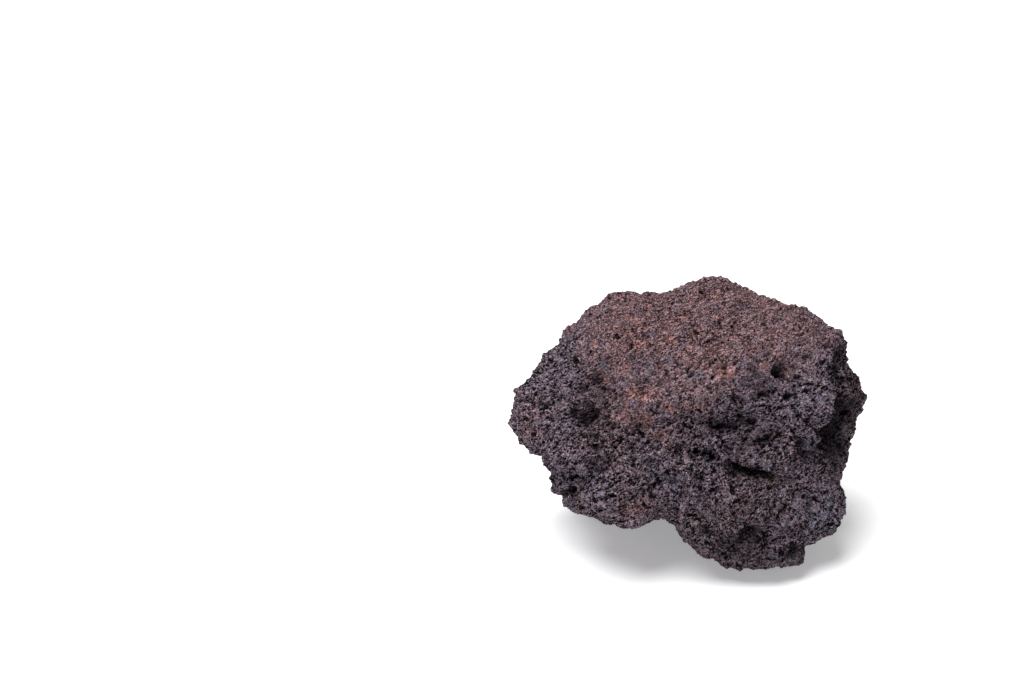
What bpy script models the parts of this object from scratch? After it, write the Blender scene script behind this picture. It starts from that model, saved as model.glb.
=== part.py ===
"""A loose piece of lava rock (vesicular scoria), one closed faceted solid.

The rock is star-shaped: from its middle, each direction meets the skin once. An outline, seen
looking down at the broad face, is rounded off to the front and to the back, broken by flat
facets, and then carries lumps, dents, grooves and ridges, and an even roughness. It stands on
the patches where its underside is cut off at the floor.

Directions and features use the tilted frame: u to the right, v up the broad face, and w out
of it. Lengths there are in millimetres.
"""
import math

import bmesh
import bpy
import numpy as np

NAME = "lava_rock"
FACES = 9400                      # of the finished solid
BALL_LEVEL = 7                    # subdivision of the ball that is shaped into the rock
TILT = math.radians(30)           # the broad face leans back by this much
MIDDLE = (0.8, -6.4, 64.5)        # mm, where the middle of the rock is, floor at z = 0
MM = 0.001

FRONT_DEPTH = 60.0                # mm from the middle to the front and to the back
BACK_DEPTH = 64.0
FRONT_ROUNDING = 2.5              # 2 is an ellipse, more is boxier
BACK_ROUNDING = 3.4
EDGE = 26.0                       # how crisp the edges between facets are

# Outline across the broad face (u, v), mm, clockwise from the top left.
OUTLINE = [
    (-36, 63), (-18, 65), (-7, 65), (1, 70), (8, 73), (15, 72), (22, 72), (31, 67), (39, 63),
    (48, 59), (64, 53), (69, 49), (75, 46), (76, 41), (79, 31), (86, 19), (87, 14), (85, 8),
    (84, 1), (84, -6), (81, -13), (77, -21), (74, -28), (77, -35), (78, -42), (78, -51),
    (75, -57), (65, -57), (55, -58), (55, -67), (53, -70), (42, -70), (33, -71), (26, -71),
    (18, -68), (12, -65), (7, -63), (0, -59), (-7, -48), (-11, -46), (-16, -45), (-24, -51),
    (-35, -48), (-41, -49), (-46, -45), (-60, -38), (-64, -33), (-65, -29), (-71, -22),
    (-72, -16), (-78, -15), (-87, -5), (-90, 1), (-87, 8), (-83, 19), (-74, 30), (-72, 34),
    (-67, 36), (-51, 53), (-47, 57), (-41, 60),
]

# Flat facets: name, outward direction (u, v, w), distance from the middle in mm.
FACETS = [
    ("top", (0.02, 0.75, 0.66), 58),
    ("left shoulder", (-0.62, 0.52, 0.58), 71),
    ("front", (-0.05, -0.18, 0.98), 45),
    ("front right", (0.34, -0.28, 0.90), 46),
    ("front left", (-0.52, 0.02, 0.85), 56),
    ("front low", (0.02, -0.50, 0.86), 51),
    ("right", (0.93, -0.05, 0.37), 90),
    ("low left", (-0.55, -0.62, 0.56), 68),
    ("high back", (0.18, 0.72, -0.67), 64),
    ("high back left", (-0.42, 0.60, -0.68), 62),
    ("back", (0.22, 0.22, -0.95), 52),
    ("back left", (-0.48, 0.12, -0.87), 58),
    ("low back", (-0.05, -0.36, -0.93), 64),
    ("right back", (0.80, 0.18, -0.57), 74),
    ("low right back", (0.62, -0.34, -0.71), 73),
    ("left end", (-0.88, -0.16, -0.44), 84),
    ("underside", (0.00, -0.80, -0.60), 70),
    ("right underside", (0.60, -0.60, -0.53), 82),
    ("left underside", (-0.62, -0.62, -0.48), 70),
]

# Lumps and dents: side, centre, radii, turn in degrees, height in mm (a dent's is negative).
# Front and back count (u, v), left and right (w, v), the underside (u, w).
LUMPS = [
    ("front", (-53, -13), (15, 15), 0, 5.0),
    ("front", (-40, -36), (18, 12), -30, 4.0),
    ("front", (36, -44), (32, 20), -20, 8.0),
    ("front", (52, -64), (9, 8), 0, 3.0),
    ("front", (-78, 3), (12, 16), 0, 3.0),
    ("front", (-40, 18), (13, 9), 20, -4.0),
    ("front", (-51, 4), (4.6, 5.0), 0, -8.0),
    ("front", (-6, -36), (9, 22), 35, -5.0),
    ("front", (40, 17), (14, 5), -42, -3.5),
    ("front", (46, 28), (9, 5), 10, -4.5),
    ("front", (59, 32), (8, 6), 0, 3.5),
    ("front", (76, 36), (6, 11), 0, 3.0),
    ("front", (82, 20), (6, 8), 0, 3.0),
    ("front", (30, -52), (7, 9), 0, -4.5),
    ("front", (63, -14), (8, 15), 25, -4.5),
    ("front", (10, 46), (26, 8), -4, 3.0),
    ("front", (-30, 50), (16, 9), 20, 2.5),
    ("front", (-14, 37), (14, 6), 10, -3.0),
    ("front", (-18, 8), (17, 9), -20, 4.0),
    ("right", (-28, 24), (18, 16), 0, 5.0),
    ("right", (0, 16), (18, 13), 0, 1.5),
    ("right", (15, -4), (11, 14), 0, -5.0),
    ("right", (-20, -26), (14, 12), 0, -5.0),
    ("left", (-26, 16), (16, 14), 0, -6.0),
    ("left", (-34, -14), (14, 12), 0, 4.5),
    ("left", (0, 4), (18, 15), 0, -0.5),
    ("back", (-40, 18), (18, 12), 20, -8.0),
    ("back", (6, 32), (24, 13), -15, 6.0),
    ("back", (46, 8), (17, 15), 10, -7.0),
    ("back", (-16, -8), (18, 12), -25, 6.0),
    ("back", (22, -12), (9, 7), 0, -7.0),
    ("back", (-54, -14), (12, 10), 0, 4.0),
    ("back", (50, -30), (14, 11), 0, 5.0),
    ("back", (-20, 48), (13, 7), 10, -4.0),
    ("underside", (-40, -52), (19, 15), 0, 13.0),
    ("underside", (38, -54), (17, 14), 0, 9.0),
    ("underside", (-2, -32), (15, 14), 0, -6.0),
    ("underside", (-48, -14), (14, 12), 0, -4.0),
]

# Ledges, grooves and ridges: side, route, the half widths to the left and to the right of it
# in mm, depth in mm (a ridge's is negative). A ledge is a groove with one steep wall.
GROOVES = [
    ("front", [(-68, -20), (-60, -24), (-50, -26), (-40, -27)], (1.8, 6.0), 5.5),
    ("front", [(2, 3), (12, 2), (22, 3), (34, 5), (46, 3)], (1.6, 7.0), 7.0),
    ("front", [(46, 0), (40, -7), (32, -13)], (5.0, 1.8), 4.5),
    ("front", [(8, -14), (20, -19), (29, -21), (40, -23), (48, -28)], (2.0, 5.5), 7.0),
    ("front", [(12, -12), (26, -16), (40, -21), (52, -27)], (4.0, 3.0), -2.5),
    ("front", [(71, 36), (73, 30), (74, 21), (72, 12), (73, 4), (72, -10), (75, -20)],
     (13.0, 2.0), 14.0),
    ("front", [(66, 31), (67, 25), (67, 19), (66, 12), (66, 0), (63, -8)], (1.8, 4.0), -3.0),
    ("front", [(65, 46), (66, 39), (68, 33), (70, 28)], (1.6, 1.6), 6.0),
    ("front", [(56, -12), (63, -15), (69, -21), (71, -27)], (1.8, 3.0), 4.0),
    ("front", [(66, -22), (69, -28), (73, -33), (72, -46)], (1.6, 1.8), -2.2),
    ("front", [(58, -24), (63, -31), (65, -40)], (1.4, 1.6), -1.6),
    ("front", [(12, 35), (28, 36), (44, 38), (58, 41)], (5.0, 2.0), -2.5),
    ("front", [(-24, -46), (-18, -34), (-16, -20)], (4.0, 3.0), 4.0),
    ("front", [(-80, -12), (-70, -14), (-64, -24)], (2.0, 4.5), 4.0),
    ("front", [(-62, 34), (-44, 31), (-26, 33)], (2.0, 6.0), 2.5),
    ("right", [(-44, -20), (-38, 0), (-40, 22), (-34, 44)], (2.0, 7.0), 6.0),
    ("right", [(-30, -8), (-12, -12), (8, -6)], (2.0, 6.0), 4.5),
    ("left", [(-50, 28), (-34, 32), (-16, 40)], (6.0, 2.0), 5.0),
    ("left", [(-34, -36), (-12, -32), (8, -20)], (2.0, 6.0), 5.0),
    ("back", [(-62, 2), (-42, -4), (-28, 3), (-12, 12), (6, 10)], (2.0, 7.0), 8.0),
    ("back", [(-58, 10), (-40, 5), (-26, 12), (-8, 21)], (4.5, 3.5), -2.5),
    ("back", [(26, 44), (34, 28), (31, 12), (38, -6)], (7.0, 2.0), 6.0),
    ("back", [(-26, -30), (-6, -25), (14, -31), (38, -34)], (2.0, 6.5), 6.5),
    ("back", [(-44, 42), (-30, 35), (-14, 35)], (3.0, 4.5), -3.0),
    ("underside", [(-60, -30), (-40, -26), (-20, -20), (-4, -6)], (4.0, 4.0), 4.0),
]

# Roughness: size and height in mm, smooth swells and then round knobs with creases between.
SWELLS = [(26, 2.2), (12, 1.4)]
KNOBS = [(18, 4.2), (9.5, 2.6)]
KNOB_LEVEL = 0.72
SKEW = [(0.36, 0.48, -0.80), (-0.80, 0.60, 0.00), (0.48, 0.64, 0.60)]   # turns the cells askew
WANDER = [(15, 3.6), (6, 1.4)]    # features stray by this much, mm, over this length
LIMIT = 16.0                      # mm past the outline before a side's features are at full depth
COLOUR = (0.105, 0.078, 0.082)

SIDES = {
    "front": (0, 1, 2, 1), "back": (0, 1, 2, -1), "right": (2, 1, 0, 1),
    "left": (2, 1, 0, -1), "underside": (0, 2, 1, -1),
}


def tilted_axes():
    """Rows are the directions u, v and w in the upright frame."""
    s, c = math.sin(TILT), math.cos(TILT)
    return np.array([(1, 0, 0), (0, s, c), (0, -c, s)])


def lattice(cell, seed):
    """Three repeatable numbers from -1 to 1 for each whole-number cell."""
    c = cell.astype(np.int64).astype(np.uint32)
    mixed = c[:, 0] * np.uint32(73856093) ^ c[:, 1] * np.uint32(19349663)
    mixed = mixed ^ c[:, 2] * np.uint32(83492791) ^ np.uint32(seed * 2654435)
    numbers = []
    for _ in range(3):
        mixed = (mixed ^ (mixed >> np.uint32(16))) * np.uint32(0x7FEB352D)
        mixed = (mixed ^ (mixed >> np.uint32(15))) * np.uint32(0x846CA68B)
        mixed = mixed ^ (mixed >> np.uint32(16))
        numbers.append(mixed / 2147483648.0 - 1)
        mixed = mixed + np.uint32(0x9E3779B9)
    return np.stack(numbers, 1)


def noise(points, size, seed):
    """Smooth gradient noise from about -1 to 1, with lumps of the given size."""
    place = points @ np.array(SKEW) / size
    cell = np.floor(place)
    part = place - cell
    ease = part ** 3 * (part * (part * 6 - 15) + 10)
    total = np.zeros(len(points))
    for corner in np.ndindex(2, 2, 2):
        offset = np.array(corner)
        weight = np.prod(np.where(offset == 1, ease, 1 - ease), axis=1)
        total += weight * (lattice(cell + offset, seed) * (part - offset)).sum(1)
    return total * 1.6


def knobs(points, size, seed):
    """Round knobs side by side, 1 on top of each, lower by the square of the distance."""
    place = points @ np.array(SKEW) / size
    cell = np.floor(place)
    nearest = np.full(len(points), np.inf)
    for step in np.ndindex(3, 3, 3):
        home = cell + np.array(step) - 1
        centre = home + 0.5 + 0.45 * lattice(home, seed)
        nearest = np.minimum(nearest, ((place - centre) ** 2).sum(1))
    return 1 - nearest


def outline_radius(angle):
    """Distance from the middle to the outline at each angle."""
    corners = np.array(OUTLINE, float)
    angles = np.arctan2(corners[:, 1], corners[:, 0])
    order = np.argsort(angles)
    return np.interp(angle, angles[order], np.hypot(*corners[order].T), period=2 * math.pi)


def body_radius(heading):
    """Rounded outline and facets: the least of them along each heading, blended at the edges."""
    side = np.hypot(heading[:, 0], heading[:, 1])
    reach = outline_radius(np.arctan2(heading[:, 1], heading[:, 0]))
    ahead = heading[:, 2] > 0
    depth = np.where(ahead, FRONT_DEPTH, BACK_DEPTH)
    power = np.where(ahead, FRONT_ROUNDING, BACK_ROUNDING)
    inverse = (side / reach) ** power + np.abs(heading[:, 2] / depth) ** power
    total = inverse ** (EDGE / power)
    for _, outward, distance in FACETS:
        outward = np.array(outward) / np.linalg.norm(outward)
        total += (np.maximum(heading @ outward, 0) / distance) ** EDGE
    return total ** (-1 / EDGE)


def seen_from(points, side):
    """Two coordinates as seen from a side, and 0 to 1 for how far a point is on that side."""
    across, up, out, sign = SIDES[side]
    share = np.clip(points[:, out] * sign / LIMIT, 0, 1)
    return points[:, across], points[:, up], share * share * (3 - 2 * share)


def lump_height(points):
    """Sum of the lumps and dents, each a bell curve over a turned ellipse."""
    height = np.zeros(len(points))
    for side, centre, radii, turn, rise in LUMPS:
        x, y, share = seen_from(points, side)
        c, s = math.cos(math.radians(turn)), math.sin(math.radians(turn))
        dx, dy = x - centre[0], y - centre[1]
        far = ((dx * c + dy * s) / radii[0]) ** 2 + ((dy * c - dx * s) / radii[1]) ** 2
        height += rise * share * np.exp(-1.2 * far ** 1.3)
    return height


def groove_height(points):
    """Sum of the grooves and ridges, each a bell curve across its route, shallow at its ends."""
    height = np.zeros(len(points))
    for side, route, (left, right), depth in GROOVES:
        x, y, share = seen_from(points, side)
        nearest = np.full(len(points), np.inf)
        profile = np.zeros(len(points))
        for leg, ((x0, y0), (x1, y1)) in enumerate(zip(route[:-1], route[1:])):
            dx, dy = x1 - x0, y1 - y0
            along = np.clip(((x - x0) * dx + (y - y0) * dy) / (dx * dx + dy * dy), 0, 1)
            gap = (x - x0 - along * dx) ** 2 + (y - y0 - along * dy) ** 2
            width = np.where(dx * (y - y0) > dy * (x - x0), left, right)
            run = (leg + along) / (len(route) - 1)
            bell = np.exp(-gap / width ** 2) * (0.15 + 3.4 * run * (1 - run))
            profile = np.where(gap < nearest, bell, profile)
            nearest = np.minimum(nearest, gap)
        height -= depth * share * profile
    return height


def roughness(points):
    """Swells and knobs of every size, about a mean level."""
    height = np.zeros(len(points))
    for seed, (size, rise) in enumerate(SWELLS):
        height += rise * noise(points, size, 1 + seed)
    for seed, (size, rise) in enumerate(KNOBS):
        height += rise * (knobs(points, size, 11 + seed) - KNOB_LEVEL)
    return height


def rock_points(headings):
    """Points of the skin, in mm in the upright frame, along unit headings from the middle."""
    tilted = headings @ tilted_axes().T
    radius = body_radius(tilted)
    body = tilted * radius[:, None]
    stray = body.copy()
    for seed, (size, reach) in enumerate(WANDER):
        for axis in range(3):
            stray[:, axis] += reach * noise(body, size, 21 + 3 * seed + axis)
    radius = radius + lump_height(stray) + groove_height(stray) + roughness(body)
    points = headings * radius[:, None] + np.array(MIDDLE)
    points[:, 2] = np.maximum(points[:, 2], 0)
    return points


def clear_scene():
    for item in list(bpy.data.objects):
        bpy.data.objects.remove(item, do_unlink=True)


def stone_material():
    material = bpy.data.materials.new("scoria")
    material.use_nodes = True
    shader = material.node_tree.nodes["Principled BSDF"]
    shader.inputs["Base Color"].default_value = (*COLOUR, 1)
    shader.inputs["Roughness"].default_value = 0.95
    shader.inputs["Metallic"].default_value = 0
    return material


def shaped_ball():
    """A fine ball whose corners are moved out to the rock's skin."""
    ball = bmesh.new()
    bmesh.ops.create_icosphere(ball, subdivisions=BALL_LEVEL, radius=1)
    headings = np.array([v.co for v in ball.verts])
    headings /= np.linalg.norm(headings, axis=1)[:, None]
    for vertex, point in zip(ball.verts, rock_points(headings) * MM):
        vertex.co = point
    mesh = bpy.data.meshes.new(NAME)
    ball.to_mesh(mesh)
    ball.free()
    return mesh


def faceted(mesh):
    """The same skin with few faces, its resting patches kept at the floor."""
    fine = bpy.data.objects.new("fine_rock", mesh)
    bpy.context.scene.collection.objects.link(fine)
    thin = fine.modifiers.new("facets", "DECIMATE")
    thin.ratio = FACES / len(mesh.polygons)
    evaluated = fine.evaluated_get(bpy.context.evaluated_depsgraph_get())
    coarse = bpy.data.meshes.new_from_object(evaluated)
    bpy.data.objects.remove(fine)
    corners = np.empty(len(coarse.vertices) * 3, np.float32)
    coarse.vertices.foreach_get("co", corners)
    corners[2::3] = np.where(corners[2::3] < 0.1 * MM, 0, corners[2::3])
    coarse.vertices.foreach_set("co", corners)
    coarse.update()
    return coarse


def main():
    clear_scene()
    home = bpy.data.collections.new(NAME)
    bpy.context.scene.collection.children.link(home)
    rock = bpy.data.objects.new(NAME, faceted(shaped_ball()))
    rock.data.name = NAME
    rock.data.materials.clear()
    rock.data.materials.append(stone_material())
    home.objects.link(rock)


main()
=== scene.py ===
"""A loose piece of lava rock: its fine skin, its crumbs and its finish.

The skin is a star-shaped surface: from the middle of the rock, each heading meets it once. Its
main form is the same as the solid's, an outline rounded off to the front and back, cut by flat
facets, with lumps, ledges and grooves. Onto it come pits, bowls with sharp rims low down and
round crumbs on the rusty top, grain, slanted ridges and open bubbles of two sizes. Chipped
crumbs are bedded in the skin as a second mesh. Lengths in the form's own lists are in
millimetres, in the tilted frame: u to the right, v up the broad face, w out of it.
"""
import math

import bpy
import numpy as np
from mathutils import Matrix, Vector


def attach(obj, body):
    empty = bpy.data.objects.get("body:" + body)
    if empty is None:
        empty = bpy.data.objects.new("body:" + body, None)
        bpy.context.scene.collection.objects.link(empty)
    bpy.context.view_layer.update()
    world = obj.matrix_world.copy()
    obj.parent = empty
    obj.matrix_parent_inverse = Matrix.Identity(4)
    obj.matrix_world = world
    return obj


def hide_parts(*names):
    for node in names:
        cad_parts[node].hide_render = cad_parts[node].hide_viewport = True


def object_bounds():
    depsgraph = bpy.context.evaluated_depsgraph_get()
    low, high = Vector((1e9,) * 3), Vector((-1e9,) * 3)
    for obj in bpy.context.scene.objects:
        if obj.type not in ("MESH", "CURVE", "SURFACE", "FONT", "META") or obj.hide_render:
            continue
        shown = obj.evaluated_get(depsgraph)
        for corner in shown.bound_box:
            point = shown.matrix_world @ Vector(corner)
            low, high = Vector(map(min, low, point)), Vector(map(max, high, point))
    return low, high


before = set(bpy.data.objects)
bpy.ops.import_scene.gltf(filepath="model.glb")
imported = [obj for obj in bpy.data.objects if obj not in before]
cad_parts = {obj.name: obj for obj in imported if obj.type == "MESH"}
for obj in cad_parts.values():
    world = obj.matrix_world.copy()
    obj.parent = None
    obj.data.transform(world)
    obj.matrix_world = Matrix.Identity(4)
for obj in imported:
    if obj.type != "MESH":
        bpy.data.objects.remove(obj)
cad_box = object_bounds()

MM = 0.001
TILT = math.radians(30)           # the broad face leans back by this much
MIDDLE = (0.8, -6.4, 64.5)        # mm, where the middle of the rock is, floor at z = 0

FRONT_DEPTH = 60.0                # mm from the middle to the front and to the back
BACK_DEPTH = 64.0
FRONT_ROUNDING = 2.5              # 2 is an ellipse, more is boxier
BACK_ROUNDING = 3.4
EDGE = 26.0                       # how crisp the edges between facets are

# Outline across the broad face (u, v), mm, clockwise from the top left.
OUTLINE = [
    (-36, 63), (-18, 65), (-7, 65), (1, 70), (8, 73), (15, 72), (22, 72), (31, 67), (39, 63),
    (48, 59), (64, 53), (69, 49), (75, 46), (76, 41), (79, 31), (86, 19), (87, 14), (85, 8),
    (84, 1), (84, -6), (81, -13), (77, -21), (74, -28), (77, -35), (78, -42), (78, -51),
    (75, -57), (65, -57), (55, -58), (55, -67), (53, -70), (42, -70), (33, -71), (26, -71),
    (18, -68), (12, -65), (7, -63), (0, -59), (-7, -48), (-11, -46), (-16, -45), (-24, -51),
    (-35, -48), (-41, -49), (-46, -45), (-60, -38), (-64, -33), (-65, -29), (-71, -22),
    (-72, -16), (-78, -15), (-87, -5), (-90, 1), (-87, 8), (-83, 19), (-74, 30), (-72, 34),
    (-67, 36), (-51, 53), (-47, 57), (-41, 60),
]

# Flat facets: name, outward direction (u, v, w), distance from the middle in mm.
FACETS = [
    ("top", (0.02, 0.75, 0.66), 58),
    ("left shoulder", (-0.62, 0.52, 0.58), 71),
    ("front", (-0.05, -0.18, 0.98), 45),
    ("front right", (0.34, -0.28, 0.90), 46),
    ("front left", (-0.52, 0.02, 0.85), 56),
    ("front low", (0.02, -0.50, 0.86), 51),
    ("right", (0.93, -0.05, 0.37), 90),
    ("low left", (-0.55, -0.62, 0.56), 68),
    ("high back", (0.18, 0.72, -0.67), 64),
    ("high back left", (-0.42, 0.60, -0.68), 62),
    ("back", (0.22, 0.22, -0.95), 52),
    ("back left", (-0.48, 0.12, -0.87), 58),
    ("low back", (-0.05, -0.36, -0.93), 64),
    ("right back", (0.80, 0.18, -0.57), 74),
    ("low right back", (0.62, -0.34, -0.71), 73),
    ("left end", (-0.88, -0.16, -0.44), 84),
    ("underside", (0.00, -0.80, -0.60), 70),
    ("right underside", (0.60, -0.60, -0.53), 82),
    ("left underside", (-0.62, -0.62, -0.48), 70),
]

# Lumps and dents: side, centre, radii, turn in degrees, height in mm (a dent's is negative).
# Front and back count (u, v), left and right (w, v), the underside (u, w).
LUMPS = [
    ("front", (-53, -13), (15, 15), 0, 5.0),
    ("front", (-40, -36), (18, 12), -30, 4.0),
    ("front", (36, -44), (32, 20), -20, 8.0),
    ("front", (52, -64), (9, 8), 0, 3.0),
    ("front", (-78, 3), (12, 16), 0, 3.0),
    ("front", (-40, 18), (13, 9), 20, -4.0),
    ("front", (-51, 4), (4.6, 5.0), 0, -8.0),
    ("front", (-6, -36), (9, 22), 35, -5.0),
    ("front", (40, 17), (14, 5), -42, -3.5),
    ("front", (46, 28), (9, 5), 10, -4.5),
    ("front", (59, 32), (8, 6), 0, 3.5),
    ("front", (76, 36), (6, 11), 0, 3.0),
    ("front", (82, 20), (6, 8), 0, 3.0),
    ("front", (30, -52), (7, 9), 0, -4.5),
    ("front", (63, -14), (8, 15), 25, -4.5),
    ("front", (10, 46), (26, 8), -4, 3.0),
    ("front", (-30, 50), (16, 9), 20, 2.5),
    ("front", (-14, 37), (14, 6), 10, -3.0),
    ("front", (-18, 8), (17, 9), -20, 4.0),
    ("right", (-28, 24), (18, 16), 0, 5.0),
    ("right", (0, 16), (18, 13), 0, 1.5),
    ("right", (15, -4), (11, 14), 0, -5.0),
    ("right", (-20, -26), (14, 12), 0, -5.0),
    ("left", (-26, 16), (16, 14), 0, -6.0),
    ("left", (-34, -14), (14, 12), 0, 4.5),
    ("left", (0, 4), (18, 15), 0, -0.5),
    ("back", (-40, 18), (18, 12), 20, -8.0),
    ("back", (6, 32), (24, 13), -15, 6.0),
    ("back", (46, 8), (17, 15), 10, -7.0),
    ("back", (-16, -8), (18, 12), -25, 6.0),
    ("back", (22, -12), (9, 7), 0, -7.0),
    ("back", (-54, -14), (12, 10), 0, 4.0),
    ("back", (50, -30), (14, 11), 0, 5.0),
    ("back", (-20, 48), (13, 7), 10, -4.0),
    ("underside", (-40, -52), (19, 15), 0, 13.0),
    ("underside", (38, -54), (17, 14), 0, 9.0),
    ("underside", (-2, -32), (15, 14), 0, -6.0),
    ("underside", (-48, -14), (14, 12), 0, -4.0),
]

# Ledges, grooves and ridges: side, route, the half widths to the left and to the right of it
# in mm, depth in mm (a ridge's is negative). A ledge is a groove with one steep wall.
GROOVES = [
    ("front", [(-68, -20), (-60, -24), (-50, -26), (-40, -27)], (1.8, 6.0), 5.5),
    ("front", [(2, 3), (12, 2), (22, 3), (34, 5), (46, 3)], (1.6, 7.0), 7.0),
    ("front", [(46, 0), (40, -7), (32, -13)], (5.0, 1.8), 4.5),
    ("front", [(8, -14), (20, -19), (29, -21), (40, -23), (48, -28)], (2.0, 5.5), 7.0),
    ("front", [(12, -12), (26, -16), (40, -21), (52, -27)], (4.0, 3.0), -2.5),
    ("front", [(71, 36), (73, 30), (74, 21), (72, 12), (73, 4), (72, -10), (75, -20)],
     (13.0, 2.0), 14.0),
    ("front", [(66, 31), (67, 25), (67, 19), (66, 12), (66, 0), (63, -8)], (1.8, 4.0), -3.0),
    ("front", [(65, 46), (66, 39), (68, 33), (70, 28)], (1.6, 1.6), 6.0),
    ("front", [(56, -12), (63, -15), (69, -21), (71, -27)], (1.8, 3.0), 4.0),
    ("front", [(66, -22), (69, -28), (73, -33), (72, -46)], (1.6, 1.8), -2.2),
    ("front", [(58, -24), (63, -31), (65, -40)], (1.4, 1.6), -1.6),
    ("front", [(12, 35), (28, 36), (44, 38), (58, 41)], (5.0, 2.0), -2.5),
    ("front", [(-24, -46), (-18, -34), (-16, -20)], (4.0, 3.0), 4.0),
    ("front", [(-80, -12), (-70, -14), (-64, -24)], (2.0, 4.5), 4.0),
    ("front", [(-62, 34), (-44, 31), (-26, 33)], (2.0, 6.0), 2.5),
    ("right", [(-44, -20), (-38, 0), (-40, 22), (-34, 44)], (2.0, 7.0), 6.0),
    ("right", [(-30, -8), (-12, -12), (8, -6)], (2.0, 6.0), 4.5),
    ("left", [(-50, 28), (-34, 32), (-16, 40)], (6.0, 2.0), 5.0),
    ("left", [(-34, -36), (-12, -32), (8, -20)], (2.0, 6.0), 5.0),
    ("back", [(-62, 2), (-42, -4), (-28, 3), (-12, 12), (6, 10)], (2.0, 7.0), 8.0),
    ("back", [(-58, 10), (-40, 5), (-26, 12), (-8, 21)], (4.5, 3.5), -2.5),
    ("back", [(26, 44), (34, 28), (31, 12), (38, -6)], (7.0, 2.0), 6.0),
    ("back", [(-26, -30), (-6, -25), (14, -31), (38, -34)], (2.0, 6.5), 6.5),
    ("back", [(-44, 42), (-30, 35), (-14, 35)], (3.0, 4.5), -3.0),
    ("underside", [(-60, -30), (-40, -26), (-20, -20), (-4, -6)], (4.0, 4.0), 4.0),
]

# Roughness: size and height in mm, smooth swells and then round knobs with creases between.
SWELLS = [(26, 2.2), (12, 1.4)]
KNOBS = [(18, 4.2), (9.5, 2.6)]
KNOB_LEVEL = 0.72
SKEW = [(0.36, 0.48, -0.80), (-0.80, 0.60, 0.00), (0.48, 0.64, 0.60)]   # turns the cells askew
CELL_STRAY = 0.45                 # how far a knob or bubble strays in its cell, of the cell's size
NOISE_GAIN = 1.6                  # brings the noise up to about -1 to 1
BELL_FALL = 1.2                   # how fast a lump falls off, and the power of its distance
BELL_POWER = 1.3
GROOVE_END = 0.15                 # depth of a groove at its ends, as a share
GROOVE_RISE = 3.4                 # times run * (1 - run) along it, for the rest of its depth
WANDER = [(15, 3.6), (6, 1.4)]    # length in mm, and by how much features stray over it
LIMIT = 16.0                      # mm past the outline before a side's features are at full depth

# Hollows and pits that stand out on the front, as for the lumps.
HOLLOWS = [
    ("front", (-48, 24), (4.4, 2.9), 20, -3.5),
    ("front", (-54, 19), (2.9, 2.9), 0, -2.5),
    ("front", (-45, 18), (2.4, 1.9), 0, -2.5),
    ("front", (-52, 3), (4.4, 4.4), 30, -6.5),
    ("front", (-42, 7), (3.4, 1.9), 30, -3.0),
    ("front", (-64, 12), (2.4, 2.0), 0, -2.0),
    ("front", (-29, 3), (1.7, 1.7), 0, -2.2),
    ("front", (-43, -11), (3.9, 2.9), 40, -3.5),
    ("front", (-57, -26), (4.4, 1.7), 10, -3.0),
    ("front", (-43, -22), (3.9, 1.7), 0, -3.0),
    ("front", (-38, -16), (1.9, 1.9), 0, -2.5),
    ("front", (-60, -34), (2.9, 2.9), 0, -4.5),
    ("front", (-19, -19), (2.9, 2.2), 40, -2.5),
    ("front", (-3, -13), (2.4, 1.9), 0, -2.0),
    ("front", (11, -15), (3.9, 2.2), -20, -3.0),
    ("front", (28, -24), (4.4, 2.0), 28, -4.0),
    ("front", (33, -23), (3.9, 2.7), -20, -6.0),
    ("front", (39, -25), (3.9, 2.4), -20, -4.5),
    ("front", (18, -1), (6.3, 2.2), 8, -4.5),
    ("front", (35, 1), (2.9, 1.9), 0, -2.8),
    ("front", (23, 13), (2.9, 2.4), 0, -3.5),
    ("front", (40, 17), (6.3, 2.4), 38, -3.5),
    ("front", (47, 28), (4.4, 2.9), 0, -4.5),
    ("front", (42, -8), (6.3, 2.0), 38, -3.5),
    ("front", (62, -10), (3.4, 2.5), -30, -5.0),
    ("front", (67, -16), (3.9, 1.7), -50, -3.0),
    ("front", (28, -50), (5.4, 6.4), 0, -4.0),
    ("front", (17, -63), (4.4, 2.5), -20, -2.5),
    ("front", (48, -58), (3.5, 5.9), 0, -4.0),
    ("front", (43, -39), (2.4, 2.0), 20, -2.5),
    ("front", (59, -38), (2.2, 3.0), 0, -3.0),
    ("front", (50, -33), (2.0, 2.0), 0, -2.5),
    ("front", (9, -54), (2.9, 2.4), 0, -3.0),
    ("front", (1, -59), (2.5, 2.0), 0, -2.0),
    ("front", (65, -54), (3.0, 2.5), 0, -2.5),
    ("front", (5, -24), (2.4, 1.9), 0, -2.2),
    ("front", (-15, -43), (4.4, 2.9), 0, -2.0),
    ("front", (9, -39), (2.9, 4.4), 0, -2.0),
    ("front", (-9, -31), (2.9, 2.4), 0, -2.0),
    ("front", (19, 45), (4.4, 2.9), -20, -1.8),
    ("front", (18, 28), (3.8, 1.9), 10, -2.2),
    ("front", (22, 45), (1.9, 1.5), 0, -1.5),
    ("front", (-25, 42), (4.3, 1.2), 40, -1.4),
    ("front", (-18, 42), (3.9, 1.2), 15, -1.2),
    ("front", (15, 47), (3.9, 1.2), 20, -1.2),
    ("front", (-37, 47), (1.5, 2.4), 0, -1.8),
    ("front", (57, 33), (3.9, 2.4), -60, -2.5),
    ("front", (56, 42), (1.9, 3.4), 20, -2.0),
    ("front", (-14, 26), (4.8, 1.9), 0, -1.4),
    ("front", (-24, 31), (5.8, 2.4), 10, -1.5),
]

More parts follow.
